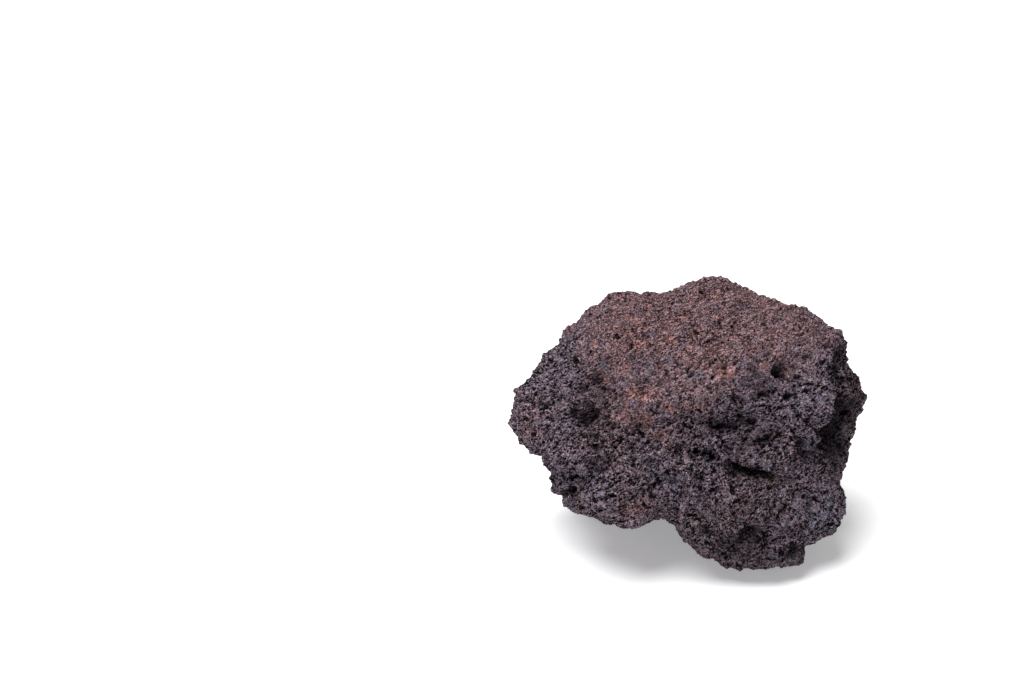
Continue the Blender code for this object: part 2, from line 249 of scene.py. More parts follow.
# Stains, and places of painted shade: side, centre, radii and turn as for the lumps, then
# strength from 0 to 1. The places of painted shade are darker all over, as if in shadow.
ORANGE = [
    ("front", (-21, 14), (8.6, 4.8), 0, 1.0),
    ("front", (-20, 2), (3.8, 2.9), 0, 0.9),
    ("front", (-8, 7), (3.4, 1.9), 0, 0.9),
    ("front", (3, 8), (3.4, 2.4), 0, 0.9),
    ("front", (-14, -5), (6.7, 3.9), 20, 0.5),
    ("front", (-32, 45), (2.9, 1.9), 0, 0.7),
    ("front", (-12, 45), (4.4, 2.4), 0, 0.7),
    ("front", (-3, 53), (4.4, 2.9), 0, 0.7),
    ("front", (18, 28), (2.9, 1.9), 0, 0.9),
    ("front", (31, -24), (1.5, 2.0), 0, 1.0),
    ("front", (-23, -40), (7.8, 3.9), 0, 0.5),
    ("front", (-25, 41), (8.7, 4.3), 0, 0.5),
    ("front", (6, 37), (7.7, 3.8), 0, 0.4),
    ("front", (23, 61), (6.9, 3.0), 0, 0.4),
    ("front", (-50, 12), (17, 16), 0, 0.14),
    ("front", (-74, 0), (9, 14), 0, 0.16),
]
# Painted shade, not stains: these places are darkened towards black as if they lay in shadow.
PAINTED_SHADE = [
    ("front", (-48, 10), (15, 17), 20, 0.45),
    ("front", (-17, 31), (20, 7), 0, 0.20),
    ("front", (24, -58), (18, 12), 0, 0.58),
    ("front", (49, -60), (7, 8), 0, 0.50),
    ("right", (12, -4), (14, 30), 0, 0.6),
    ("front", (75, 32), (4, 12), 0, 0.6),
    ("front", (75, 8), (5, 24), 0, 1.0),
    ("front", (82, 5), (7, 16), 0, 0.6),
    ("front", (14, 0), (20, 7), -5, 0.30),
    ("front", (-48, -20), (14, 6), 0, 0.40),
    ("front", (30, -20), (20, 6), -12, 0.30),
    ("front", (38, -44), (42, 24), 0, 0.15),
]
BLUE_GREY = [
    ("front", (66, 6), (5, 24), 0, 0.45),
    ("front", (56, 4), (13, 16), 0, 0.4),
    ("front", (66, -46), (11, 16), 0, 0.8),
    ("front", (-18, -23), (2.4, 3.4), 20, 1.0),
    ("front", (3, 46), (1.9, 1.9), 0, 0.9),
    ("front", (3, 39), (1.9, 1.4), 0, 0.9),
    ("front", (27, 57), (2.0, 2.0), 0, 0.9),
    ("front", (35, -16), (2.4, 3.4), 0, 0.6),
    ("front", (60, -45), (7.9, 10.9), 0, 0.7),
    ("front", (67, -34), (3.0, 10.9), -15, 0.7),
    ("front", (36, 26), (12.5, 6.7), 0, 0.5),
    ("front", (55, 19), (3.9, 12.6), 0, 0.5),
    ("front", (-59, -1), (6.8, 5.9), 0, 0.2),
    ("front", (37, -34), (6.8, 4.9), 0, 0.4),
    ("front", (18, -10), (5.8, 2.4), 0, 0.4),
    ("front", (25, 19), (5.8, 3.8), 0, 0.5),
    ("front", (-50, 40), (16, 9), 0, 0.35),
]

# The rusty crust: between these heights in mm, lower towards both ends, and straying up and
# down by so much over each length.
CRUST_LEVELS = (84, 113)
CRUST_FALL = 0.0035               # mm per square mm from the middle along u
CRUST_STRAY = [(26, 13), (8, 6)]

SMALL_WANDER = [(5.0, 1.7), (2.2, 0.9)]   # the same as WANDER, for pits, stains and creases

# Slanted ridges: heading of their length (u, v, w), how drawn out, size and height in mm.
STREAK_HEADING = (0.82, 0.57, 0.0)
STREAK_LENGTH = 2.4
STREAKS = [(4.6, 0.75), (2.4, 0.35)]

# Fine roughness, size and height in mm: bowls with sharp rims below, round crumbs on top.
BOWLS = [(6.4, 2.2), (3.3, 1.6)]
CRUMBS = [(5.0, 1.3), (2.7, 1.1)]
BOWL_LEVEL = 0.30
GRAIN = [(3.6, 0.8), (1.7, 0.6)]

# Open bubbles: spacing, least and greatest radius in mm, share of the places that hold one.
BUBBLES = [
    (6.4, 1.0, 2.3, 0.60),
    (3.9, 0.75, 1.4, 0.80),
]
BUBBLE_DEPTH = 1.6                # how much deeper than round the bubbles are
BUBBLE_LEAST = 0.35               # share of that depth where the stone is densest
BUBBLE_PATCH = 15                 # mm, size of the denser and more open patches
BUBBLE_RANGE = (-0.35, 0.25)      # noise from dense to open
BUBBLE_CRUSTED = 0.7              # share of the openness that the crust takes away

# Crumbs bedded in the skin, in mm.
CRUMB_PLACES = 17000
CRUMB_MOST = 9900
CRUMB_SIZE = (0.45, 1.3)          # least and greatest radius
CRUMB_DEPTH = 0.62                # how deep each is bedded, as a share of its radius
CRUMB_FLOOR = 4.0                 # none below this height
CRUMB_ORANGE = 0.08               # shares of them that are stained and blue grey
CRUMB_BLUE = 0.07
CRUMB_SHARE = (0.40, 0.45)        # share of the places that hold one, and more of it on the crust
CRUMB_SUNK = 0.3                  # none where a bubble or a pit is deeper than this
CRUMB_HOLLOW = 0.8
CRUMB_JITTER = 0.7                # how far each strays, as a share of the spacing
CRUMB_OFF_CRUST = 0.2             # how readily those off the crust are stained
CRUMB_CHIP = 0.22                 # by how much its corners and its axes vary
CRUMB_SQUASH = 0.30

SKIN_STEP = 0.5                   # mm between the grid lines of the skin, before thinning
SKIN_FACES = 198000               # triangles of the skin after thinning
FLOOR_SNAP = 0.05                 # mm, points lower than this are set on the floor

SIDES = {
    "front": (0, 1, 2, 1), "back": (0, 1, 2, -1), "right": (2, 1, 0, 1),
    "left": (2, 1, 0, -1), "underside": (0, 2, 1, -1),
}


def tilted_axes():
    """Rows are the directions u, v and w in the upright frame."""
    s, c = math.sin(TILT), math.cos(TILT)
    return np.array([(1, 0, 0), (0, s, c), (0, -c, s)])


def lattice(cell, seed):
    """Three repeatable numbers from -1 to 1 for each whole-number cell."""
    c = cell.astype(np.int64).astype(np.uint32)
    mixed = c[:, 0] * np.uint32(73856093) ^ c[:, 1] * np.uint32(19349663)
    mixed = mixed ^ c[:, 2] * np.uint32(83492791) ^ np.uint32(seed * 2654435)
    numbers = []
    for _ in range(3):
        mixed = (mixed ^ (mixed >> np.uint32(16))) * np.uint32(0x7FEB352D)
        mixed = (mixed ^ (mixed >> np.uint32(15))) * np.uint32(0x846CA68B)
        mixed = mixed ^ (mixed >> np.uint32(16))
        numbers.append(mixed / 2147483648.0 - 1)
        mixed = mixed + np.uint32(0x9E3779B9)
    return np.stack(numbers, 1)


def noise(points, size, seed):
    """Smooth gradient noise from about -1 to 1, with lumps of the given size."""
    place = points @ np.array(SKEW) / size
    cell = np.floor(place)
    part = place - cell
    ease = part ** 3 * (part * (part * 6 - 15) + 10)
    total = np.zeros(len(points))
    for corner in np.ndindex(2, 2, 2):
        offset = np.array(corner)
        weight = np.prod(np.where(offset == 1, ease, 1 - ease), axis=1)
        total += weight * (lattice(cell + offset, seed) * (part - offset)).sum(1)
    return total * NOISE_GAIN


def knobs(points, size, seed):
    """Round knobs side by side, 1 on top of each, lower by the square of the distance."""
    place = points @ np.array(SKEW) / size
    cell = np.floor(place)
    nearest = np.full(len(points), np.inf)
    for step in np.ndindex(3, 3, 3):
        home = cell + np.array(step) - 1
        centre = home + 0.5 + CELL_STRAY * lattice(home, seed)
        nearest = np.minimum(nearest, ((place - centre) ** 2).sum(1))
    return 1 - nearest


def outline_radius(angle):
    """Distance from the middle to the outline at each angle."""
    corners = np.array(OUTLINE, float)
    angles = np.arctan2(corners[:, 1], corners[:, 0])
    order = np.argsort(angles)
    return np.interp(angle, angles[order], np.hypot(*corners[order].T), period=2 * math.pi)


def body_radius(heading):
    """Rounded outline and facets: the least of them along each heading, blended at the edges.

    A facet is reached at its distance over the cosine of the angle to its direction. The outline,
    rounded off to the front and back, is reached at r, where r^-power is (side / outline)^power +
    (out / depth)^power. The body's radius to the power -EDGE is the sum of all of theirs.
    """
    side = np.hypot(heading[:, 0], heading[:, 1])
    reach = outline_radius(np.arctan2(heading[:, 1], heading[:, 0]))
    ahead = heading[:, 2] > 0
    depth = np.where(ahead, FRONT_DEPTH, BACK_DEPTH)
    power = np.where(ahead, FRONT_ROUNDING, BACK_ROUNDING)
    inverse = (side / reach) ** power + np.abs(heading[:, 2] / depth) ** power
    total = inverse ** (EDGE / power)
    for _, outward, distance in FACETS:
        outward = np.array(outward) / np.linalg.norm(outward)
        total += (np.maximum(heading @ outward, 0) / distance) ** EDGE
    return total ** (-1 / EDGE)


def seen_from(points, side):
    """Two coordinates as seen from a side, and 0 to 1 for how far a point is on that side."""
    across, up, out, sign = SIDES[side]
    share = np.clip(points[:, out] * sign / LIMIT, 0, 1)
    return points[:, across], points[:, up], share * share * (3 - 2 * share)


def lump_height(points, lumps):
    """Sum of the lumps and dents, each a bell curve over a turned ellipse.

    Each is rise * e^(-BELL_FALL * far^BELL_POWER), far the squared distance counted in radii.
    """
    height = np.zeros(len(points))
    for side, centre, radii, turn, rise in lumps:
        x, y, share = seen_from(points, side)
        c, s = math.cos(math.radians(turn)), math.sin(math.radians(turn))
        dx, dy = x - centre[0], y - centre[1]
        far = ((dx * c + dy * s) / radii[0]) ** 2 + ((dy * c - dx * s) / radii[1]) ** 2
        height += rise * share * np.exp(-BELL_FALL * far ** BELL_POWER)
    return height


def groove_height(points):
    """Sum of the grooves and ridges, each a bell curve across its route, shallow at its ends.

    Each is -depth * deep * e^(-(gap / width)^2), gap the distance from the route.
    """
    height = np.zeros(len(points))
    for side, route, (left, right), depth in GROOVES:
        x, y, share = seen_from(points, side)
        nearest = np.full(len(points), np.inf)
        profile = np.zeros(len(points))
        for leg, ((x0, y0), (x1, y1)) in enumerate(zip(route[:-1], route[1:])):
            dx, dy = x1 - x0, y1 - y0
            along = np.clip(((x - x0) * dx + (y - y0) * dy) / (dx * dx + dy * dy), 0, 1)
            gap = (x - x0 - along * dx) ** 2 + (y - y0 - along * dy) ** 2
            width = np.where(dx * (y - y0) > dy * (x - x0), left, right)
            run = (leg + along) / (len(route) - 1)
            deep = GROOVE_END + GROOVE_RISE * run * (1 - run)
            bell = np.exp(-gap / width ** 2) * deep
            profile = np.where(gap < nearest, bell, profile)
            nearest = np.minimum(nearest, gap)
        height -= depth * share * profile
    return height


def roughness(points):
    """Swells and knobs of every size, about a mean level."""
    height = np.zeros(len(points))
    for seed, (size, rise) in enumerate(SWELLS):
        height += rise * noise(points, size, 1 + seed)
    for seed, (size, rise) in enumerate(KNOBS):
        height += rise * (knobs(points, size, 11 + seed) - KNOB_LEVEL)
    return height


def bubble_depth(points, headings, spacing, least, most, share, seed):
    """How far each point sinks into open bubbles.

    A ball of random radius hides near the middle of each cell of a grid. Where the ray from the
    rock's middle is inside a ball as it reaches the skin, the skin falls back to the near wall
    of that ball: depth = root(radius^2 - miss^2) - ahead, with miss the ball's distance from the
    ray and ahead how far its centre lies beyond the point.
    """
    place = points @ np.array(SKEW) / spacing
    axes = headings @ np.array(SKEW)
    cell = np.floor(place)
    deepest = np.zeros(len(points))
    for step in np.ndindex(3, 3, 3):
        home = cell + np.array(step) - 1
        away = (home + 0.5 + CELL_STRAY * lattice(home, seed) - place) * spacing
        luck = lattice(home, seed + 50)
        radius = least + (most - least) * (0.5 + 0.5 * luck[:, 0]) ** 2
        ahead = (away * axes).sum(1)
        half = radius ** 2 - (away ** 2).sum(1) + ahead ** 2
        half = np.sqrt(np.maximum(half, 0))
        open_here = (half > np.abs(ahead)) & (luck[:, 1] < share * 2 - 1)
        deepest = np.maximum(deepest, np.where(open_here, half - ahead, 0))
    return deepest


def smooth_step(values, low, high):
    """0 below low, 1 above high and 3 s^2 - 2 s^3 between, s the share of the way."""
    share = np.clip((values - low) / (high - low), 0, 1)
    return share * share * (3 - 2 * share)


def wandered(points, wander, seed):
    """The points, moved about by smooth noise of each size."""
    moved = points.copy()
    for number, (size, reach) in enumerate(wander):
        for axis in range(3):
            moved[:, axis] += reach * noise(points, size, seed + 3 * number + axis)
    return moved


def rock_skin(headings):
    """Points of the skin in metres, along unit headings, and what its finish depends on.

    radius = body + lumps + grooves + roughness + hollow + fine - sunk, in mm. The lists are read
    at the body's point, moved about by smooth noise. fine is bowls below and round crumbs on the
    crust, with grain and slanted ridges over both, and sunk is the open bubbles' depth.
    """
    tilted = headings @ tilted_axes().T
    coarse = body_radius(tilted)
    body = tilted * coarse[:, None]
    stray = wandered(body, WANDER, 21)
    near = wandered(body, SMALL_WANDER, 31)
    creased = stray + near - body
    radius = coarse + lump_height(stray, LUMPS) + groove_height(creased) + roughness(body)
    hollow = lump_height(near, HOLLOWS)
    radius = radius + hollow
    level = headings[:, 2] * radius + MIDDLE[2]
    level = level - CRUST_FALL * body[:, 0] ** 2
    for seed, (size, rise) in enumerate(CRUST_STRAY):
        level = level + rise * noise(body, size, 61 + seed)
    on_top = smooth_step(level, *CRUST_LEVELS)
    bowls, crumbs = np.zeros(len(body)), np.zeros(len(body))
    for seed, (size, rise) in enumerate(BOWLS):
        bowls += rise * (1 - BOWL_LEVEL - knobs(near, size, 41 + seed))
    for seed, (size, rise) in enumerate(CRUMBS):
        crumbs += rise * (knobs(near, size, 45 + seed) - KNOB_LEVEL)
    fine = crumbs * on_top + bowls * (1 - on_top)
    for seed, (size, rise) in enumerate(GRAIN):
        fine += rise * noise(body, size, 51 + seed)
    heading = np.array(STREAK_HEADING)
    drawn = near - (near @ heading)[:, None] * heading * (1 - 1 / STREAK_LENGTH)
    for seed, (size, rise) in enumerate(STREAKS):
        fine += rise * noise(drawn, size, 55 + seed)
    radius = radius + fine
    open_share = smooth_step(noise(body, BUBBLE_PATCH, 65), *BUBBLE_RANGE)
    open_share = open_share * (1 - BUBBLE_CRUSTED * on_top)
    sunk = np.zeros(len(body))
    for number, (spacing, least, most, share) in enumerate(BUBBLES):
        points = near * (radius / coarse)[:, None]
        depth = bubble_depth(points, tilted, spacing, least, most, share, 71 + number)
        openness = BUBBLE_LEAST + (1 - BUBBLE_LEAST) * open_share
        sunk = np.maximum(sunk, depth * BUBBLE_DEPTH * openness)
    points = headings * (radius - sunk)[:, None] + np.array(MIDDLE)
    points[:, 2] = np.maximum(points[:, 2], 0)
    orange = np.clip(lump_height(near, ORANGE), 0, 1)
    blue_grey = np.clip(lump_height(near, BLUE_GREY), 0, 1)
    # painted shade: how far each point is darkened as if in shadow
    painted_shade = np.clip(lump_height(stray, PAINTED_SHADE), 0, 1)
    return points * MM, {"rust": on_top, "sunk": sunk, "fine": fine, "hollow": -hollow,
                         "orange": orange, "blue_grey": blue_grey, "painted_shade": painted_shade}


def box_headings(counts):
    """Headings over a box's six sides, each a grid of two parameters, and its quads.

    On a side, the heading is (tan a, tan b, 1) with a and b from -45 to 45 degrees, stretched to
    the rock's proportions. Corners on the seams are shared, so the skin is closed.
    """
    quads = []
    for axis in range(3):
        first, second = [(1, 2), (2, 0), (0, 1)][axis]
        i, j = np.meshgrid(np.arange(counts[first]), np.arange(counts[second]), indexing="ij")
        i, j = i.ravel(), j.ravel()
        for end in (0, counts[axis]):
            quad = np.zeros((len(i), 4, 3), np.int64)
            quad[:, :, axis] = end
            quad[:, :, first] = np.stack([i, i + 1, i + 1, i], 1)
            quad[:, :, second] = np.stack([j, j, j + 1, j + 1], 1)
            quads.append(quad if end else quad[:, ::-1])
    quads = np.concatenate(quads)
    base = max(counts) + 1
    key = (quads[..., 0] * base + quads[..., 1]) * base + quads[..., 2]
    keys, corners = np.unique(key, return_inverse=True)
    spots = np.stack([keys // base ** 2, keys // base % base, keys % base], 1)
    headings = np.tan((spots / np.array(counts) * 2 - 1) * math.pi / 4) * np.array(counts)
    headings /= np.linalg.norm(headings, axis=1)[:, None]
    return headings, corners.reshape(-1, 4)


def mesh_from(name, points, faces):
    """A mesh from arrays of points and of faces that all have the same number of corners."""
    mesh = bpy.data.meshes.new(name)
    mesh.vertices.add(len(points))
    mesh.vertices.foreach_set("co", points.astype(np.float32).ravel())
    mesh.loops.add(faces.size)
    mesh.loops.foreach_set("vertex_index", faces.astype(np.int32).ravel())
    mesh.polygons.add(len(faces))
    starts = np.arange(len(faces), dtype=np.int32) * faces.shape[1]
    mesh.polygons.foreach_set("loop_start", starts)
    mesh.update(calc_edges=True)
    return mesh


def thinned(mesh, faces):
    """The mesh with fewer triangles, most of them left where the skin bends."""
    carrier = bpy.data.objects.new("carrier", mesh)
    bpy.context.scene.collection.objects.link(carrier)
    thin = carrier.modifiers.new("thin", "DECIMATE")
    thin.ratio = faces / (2 * len(mesh.polygons))
    evaluated = carrier.evaluated_get(bpy.context.evaluated_depsgraph_get())
    result = bpy.data.meshes.new_from_object(evaluated)
    bpy.data.objects.remove(carrier)
    return result


def vertex_array(mesh):
    """The mesh's corners as one array of points, in metres."""
    spots = np.empty(len(mesh.vertices) * 3, np.float32)
    mesh.vertices.foreach_get("co", spots)
    return spots.reshape(-1, 3).astype(float)


def paint(mesh, name, values):
    """Stores one number a vertex for the material to read."""
    layer = mesh.attributes.new(name, "FLOAT", "POINT")
    layer.data.foreach_set("value", values.astype(np.float32))


def make_skin():
    """rock_skin along a box's headings, thinned, and its finish worked out again where it lies."""
    low, high = np.array(cad_box)
    counts = np.round((high - low) / MM / SKIN_STEP).astype(int)
    headings, quads = box_headings(counts)
    points, _ = rock_skin(headings)
    mesh = thinned(mesh_from("fine_skin", points, quads), SKIN_FACES)
    spots = vertex_array(mesh)
    spots[:, 2] = np.where(spots[:, 2] < FLOOR_SNAP * MM, 0, spots[:, 2])
    mesh.vertices.foreach_set("co", spots.astype(np.float32).ravel())
    outward = spots / MM - np.array(MIDDLE)
    outward /= np.linalg.norm(outward, axis=1)[:, None]
    _, finish = rock_skin(outward)
    for name, values in finish.items():
        paint(mesh, name, values)
    rock = bpy.data.objects.new("rock_skin", mesh)
    bpy.context.scene.collection.objects.link(rock)
    return rock


def chipped_balls(count, seed):
    """Corners of many 20-sided balls of radius about 1, each chipped and squashed, and the faces.

    The 12 corners of a regular one are (0, 1, g), turned about in their order and sign, with g
    the golden ratio. Each is moved along its heading by a chance of up to CRUMB_CHIP and along
    each axis by one of up to CRUMB_SQUASH, and the ball is turned to axes of its own.
    """
    golden = (1 + math.sqrt(5)) / 2
    base = [(-1, golden, 0), (1, golden, 0), (-1, -golden, 0), (1, -golden, 0)]
    base = np.array([np.roll(corner, turn) for turn in range(3) for corner in base])
    base = base / np.linalg.norm(base[0])
    faces = np.array([(0, 11, 5), (0, 5, 1), (0, 1, 7), (0, 7, 10), (0, 10, 11), (1, 5, 9),
                      (5, 11, 4), (11, 10, 2), (10, 7, 6), (7, 1, 8), (3, 9, 4), (3, 4, 2),
                      (3, 2, 6), (3, 6, 8), (3, 8, 9), (4, 9, 5), (2, 4, 11), (6, 2, 10),
                      (8, 6, 7), (9, 8, 1)])
    chance = np.random.default_rng(seed)
    corners = base[None] * (1 + CRUMB_CHIP * chance.uniform(-1, 1, (count, 12, 1)))
    corners = corners * (1 + CRUMB_SQUASH * chance.uniform(-1, 1, (count, 1, 3)))
    first = chance.normal(size=(count, 3))
    first /= np.linalg.norm(first, axis=1)[:, None]
    second = np.cross(first, chance.normal(size=(count, 3)))
    second /= np.linalg.norm(second, axis=1)[:, None]
    axes = np.stack([first, second, np.cross(first, second)], 1)
    return np.einsum("nkj,nji->nki", corners, axes), faces


def make_crumbs():
    """Crumbs bedded in the skin along headings of a golden spiral, most of them on the crust.

    Heading number n of N is turned by pi * (1 + root 5) * n about the upright axis and has the
    height 1 - 2 n / N, with a little chance added.
    """
    chance = np.random.default_rng(5)
    number = np.arange(CRUMB_PLACES) + 0.5
    turn = math.pi * (1 + math.sqrt(5)) * number
    up = 1 - 2 * number / CRUMB_PLACES
    side = np.sqrt(1 - up * up)
    headings = np.stack([np.cos(turn) * side, np.sin(turn) * side, up], 1)
    headings += chance.normal(size=headings.shape) * CRUMB_JITTER / math.sqrt(CRUMB_PLACES)
    headings /= np.linalg.norm(headings, axis=1)[:, None]
    points, finish = rock_skin(headings)
    luck = chance.uniform(size=CRUMB_PLACES)
    kept = points[:, 2] > CRUMB_FLOOR * MM
    kept &= (finish["sunk"] < CRUMB_SUNK) & (finish["hollow"] < CRUMB_HOLLOW)
    kept &= luck < CRUMB_SHARE[0] + CRUMB_SHARE[1] * finish["rust"]
    kept = np.flatnonzero(kept)[:CRUMB_MOST]
    size = CRUMB_SIZE[0] + (CRUMB_SIZE[1] - CRUMB_SIZE[0]) * chance.uniform(size=len(kept)) ** 2
    balls, faces = chipped_balls(len(kept), 6)
    middles = points[kept] / MM - headings[kept] * (CRUMB_DEPTH * size)[:, None]
    corners = (balls * size[:, None, None] + middles[:, None]).reshape(-1, 3) * MM
    every = (np.arange(len(kept))[:, None, None] * 12 + faces[None]).reshape(-1, 3)
    mesh = mesh_from("rock_crumbs", corners, every)
    finish = {name: values[kept] for name, values in finish.items()}
    pick = chance.uniform(size=len(kept))
    stained = pick < CRUMB_ORANGE * (CRUMB_OFF_CRUST + finish["rust"])
    finish["orange"] = np.where(stained, 1, finish["orange"])
    finish["blue_grey"] = np.where(pick > 1 - CRUMB_BLUE, 1, finish["blue_grey"])
    for name, values in finish.items():
        paint(mesh, name, np.repeat(values, 12))
    crumbs = bpy.data.objects.new("rock_crumbs", mesh)
    bpy.context.scene.collection.objects.link(crumbs)
    return crumbs


# ---- finish ----


class Graph:
    """A material's nodes, placed in columns as they are made."""

    def __init__(self, name):
        self.material = bpy.data.materials.new(name)
        self.material.use_nodes = True
        self.tree = self.material.node_tree
        self.shader = self.tree.nodes["Principled BSDF"]
        self.made = 0

    def node(self, kind, settings=None, **inputs):
        """A node; each input is a value or another node's output."""
        node = self.tree.nodes.new(kind)
        node.location = (-220 * (self.made // 5) - 400, -300 * (self.made % 5))
        self.made += 1
        for name, value in (settings or {}).items():
            setattr(node, name, value)
        for name, value in inputs.items():
            key = int(name[1:]) if name[1:].isdigit() else name
            self.put(node.inputs[key], value)
        return node

    def put(self, socket, value):
        if isinstance(value, bpy.types.NodeSocket):
            self.tree.links.new(value, socket)
        else:
            socket.default_value = value

    def field(self, name):
        return self.node("ShaderNodeAttribute", {"attribute_name": name}).outputs["Fac"]

    def place(self):
        return self.node("ShaderNodeTexCoord").outputs["Object"]

    def noise(self, place, size, detail, rough):
        """Smooth noise with lumps of a size in mm."""
        return self.node("ShaderNodeTexNoise", Vector=place, Scale=1 / (size * MM),
                         Detail=detail, Roughness=rough).outputs["Fac"]

    def cells(self, place, size):
        """Cells of a size in mm: distance to the nearest centre, and three numbers for each."""
        node = self.node("ShaderNodeTexVoronoi", Vector=place, Scale=1 / (size * MM))
        chance = self.node("ShaderNodeSeparateColor", Color=node.outputs["Color"])
        return node.outputs["Distance"], chance.outputs

    def maths(self, operation, *values):
        """One operation on values or other nodes' outputs."""
        node = self.node("ShaderNodeMath", {"operation": operation})
        for socket, value in zip(node.inputs, values):
            self.put(socket, value)
        return node.outputs[0]

    def remap(self, value, low, high, new_low=0.0, new_high=1.0):
        """The new low where the value is low, the new high where it is high, eased between."""
        node = self.node("ShaderNodeMapRange", {"interpolation_type": "SMOOTHSTEP"})
        for socket, given in zip(node.inputs, (value, low, high, new_low, new_high)):
            self.put(socket, given)
        return node.outputs[0]

    def mix(self, share, first, second, blend="MIX"):
        """The first colour, with a share of the second mixed or multiplied in."""
        node = self.node("ShaderNodeMix", {"data_type": "RGBA", "blend_type": blend})
        self.put(node.inputs[0], share)
        self.put(node.inputs[6], first)
        self.put(node.inputs[7], second)
        return node.outputs[2]


PURPLE = (0.260, 0.200, 0.285, 1)
BROWN = (0.225, 0.146, 0.172, 1)
RUST = (0.680, 0.365, 0.380, 1)
PALE = (0.460, 0.345, 0.400, 1)
ORANGE_CRUST = (0.740, 0.310, 0.250, 1)
SLATE = (0.260, 0.265, 0.380, 1)
# near black for all the painted shade: in pores, gaps, low specks, depths and the shaded places
SHADOW_BLACK = (0.0030, 0.0020, 0.0025, 1)
# painted highlight for the tops of the raised specks
CREST_HIGHLIGHT = (0.62, 0.47, 0.53, 1)

# Noise: size in mm, detail and roughness.
BROAD = (24, 3, 0.55)
PATCH = (9, 3, 0.55)
MOTTLE = (4, 3, 0.55)
COARSE = (3.2, 3, 0.65)
SPECK = (0.8, 2, 0.6)

SWIRL_SIZE = 2.2                  # mm, size of the swirls that carry the cells about
SWIRL_REACH = 1.6                 # mm, how far they carry them
GRAIN_TURN = (0.0, 1.05, 0.34)    # the grain rises to the right, across the broad face
GRAIN_LENGTH = 1.6                # how much longer than wide its pores and crumbs are

CLASTS = [(2.3, 0.10), (5.5, 0.16)]      # size of the cells in mm, share of them that are tinted
CLAST_TINTS = [                          # tint, its part of the share, how much shows off the crust
    (ORANGE_CRUST, 0.6, 0.12),
    (SLATE, 0.6, 1.0),
    (PALE, 0.9, 1.0),
]
CLAST_STRENGTH = 0.6
# Pores: size of the cells in mm, share of them open, least and greatest radius as shares of the
# size, depth in the relief.
PORES = [(3.1, 0.40, 0.16, 0.34, 2.4), (1.6, 0.99, 0.20, 0.42, 1.8), (1.0, 0.99, 0.22, 0.42, 1.2)]
DOMES = [(1.7, 2.6), (0.95, 1.9)]        # crumbs of the crust: size in mm, rise in the relief
SPECK_RELIEF = 3.0
# The skin's depths, painted darker as if in shadow: the depths in mm where it starts to darken and
# is darkest, and by how much.
DEPTH_SHADE = [("fine", -0.2, -1.5, 0.55), ("sunk", 0.1, 1.4, 0.90), ("hollow", 0.6, 4.0, 0.85)]


def stone_colour(g, place, slant, rust):
    """The body of the stone: purple grey, brown where it is rougher, rusty on top, with stains."""
    patch = g.noise(place, *PATCH)
    stone = g.mix(g.remap(g.noise(place, *BROAD), 0.40, 0.60), PURPLE, BROWN)
    stone = g.mix(g.remap(g.noise(place, *MOTTLE), 0.48, 0.64, 0.0, 0.8), stone, BROWN)
    reddish = g.maths("MULTIPLY", rust, g.remap(patch, 0.32, 0.58, 0.45, 1.0))
    stone = g.mix(reddish, stone, RUST)
    stain = g.maths("MULTIPLY", g.field("orange"), g.remap(patch, 0.25, 0.5, 0.4, 0.9))
    stone = g.mix(stain, stone, ORANGE_CRUST)
    stone = g.mix(g.maths("MULTIPLY", g.field("blue_grey"), 0.75), stone, SLATE)
    level = g.remap(g.noise(slant, *COARSE), 0.30, 0.70, 0.60, 1.40)
    grey = g.node("ShaderNodeCombineColor", _0=level, _1=level, _2=level).outputs[0]
    return g.mix(1.0, stone, grey, "MULTIPLY")


def add_clasts(g, stone, shift, crust):
    """Smoother clasts, a few of them tinted; gives the colour and where the clasts are."""
    clasts = None
    for size, share in CLASTS:
        distance, chance = g.cells(shift, size)
        core = g.remap(distance, 0.60, 0.42)
        for number, (tint, part, off_crust) in enumerate(CLAST_TINTS):
            least = 1 - share * part
            chosen = g.maths("MULTIPLY", g.remap(chance[number], least, least + 0.01), core)
            if off_crust < 1:
                chosen = g.maths("MULTIPLY", chosen, g.remap(crust, 0.05, 0.5, off_crust, 1.0))
            stone = g.mix(g.maths("MULTIPLY", chosen, CLAST_STRENGTH), stone, tint)
            clasts = chosen if clasts is None else g.maths("MAXIMUM", clasts, chosen)
    return stone, clasts


def pores_and_domes(g, slant, speck, crust, clasts):
    """Relief, and the shade painted on it: pores, and on the crust small domes with gaps between
    them; the pores and the gaps are painted dark as if in shadow.
    """
    below = g.remap(crust, 1.0, 0.35)
    relief = g.maths("MULTIPLY", speck, SPECK_RELIEF)
    pore_shade = None
    for size, share, least, most, depth in PORES:
        distance, chance = g.cells(slant, size)
        radius = g.remap(chance[0], 1 - share, 1.0, least, most)
        here = g.remap(chance[0], 1 - share - 0.01, 1 - share)
        reach = g.maths("DIVIDE", distance, radius)
        # painted shade inside each pore
        pore = g.maths("MULTIPLY", g.remap(reach, 1.35, 0.85), here)
        rim = g.maths("MULTIPLY", g.remap(reach, 2.3, 0.6), here)
        relief = g.maths("SUBTRACT", relief, g.maths("MULTIPLY", rim, depth))
        pore_shade = pore if pore_shade is None else g.maths("MAXIMUM", pore_shade, pore)
    for size, rise in DOMES:
        distance, _ = g.cells(slant, size)
        round_top = g.maths("MULTIPLY", distance, distance)
        dome = g.maths("MULTIPLY", round_top, g.remap(below, 0.0, 1.0, -rise, 0.4 * rise))
        relief = g.maths("ADD", relief, dome)
        # painted shade in the gaps between the domes
        gap = g.maths("MULTIPLY", g.remap(distance, 0.56, 0.80, 0.0, 0.95),
                      g.remap(below, 0.0, 1.0, 1.0, 0.25))
        pore_shade = g.maths("MULTIPLY", pore_shade, g.remap(crust, 0.0, 1.0, 1.0, 0.75))
        pore_shade = g.maths("MAXIMUM", pore_shade, gap)
    return relief, g.maths("MULTIPLY", pore_shade, g.remap(clasts, 0.0, 1.0, 1.0, 0.45))


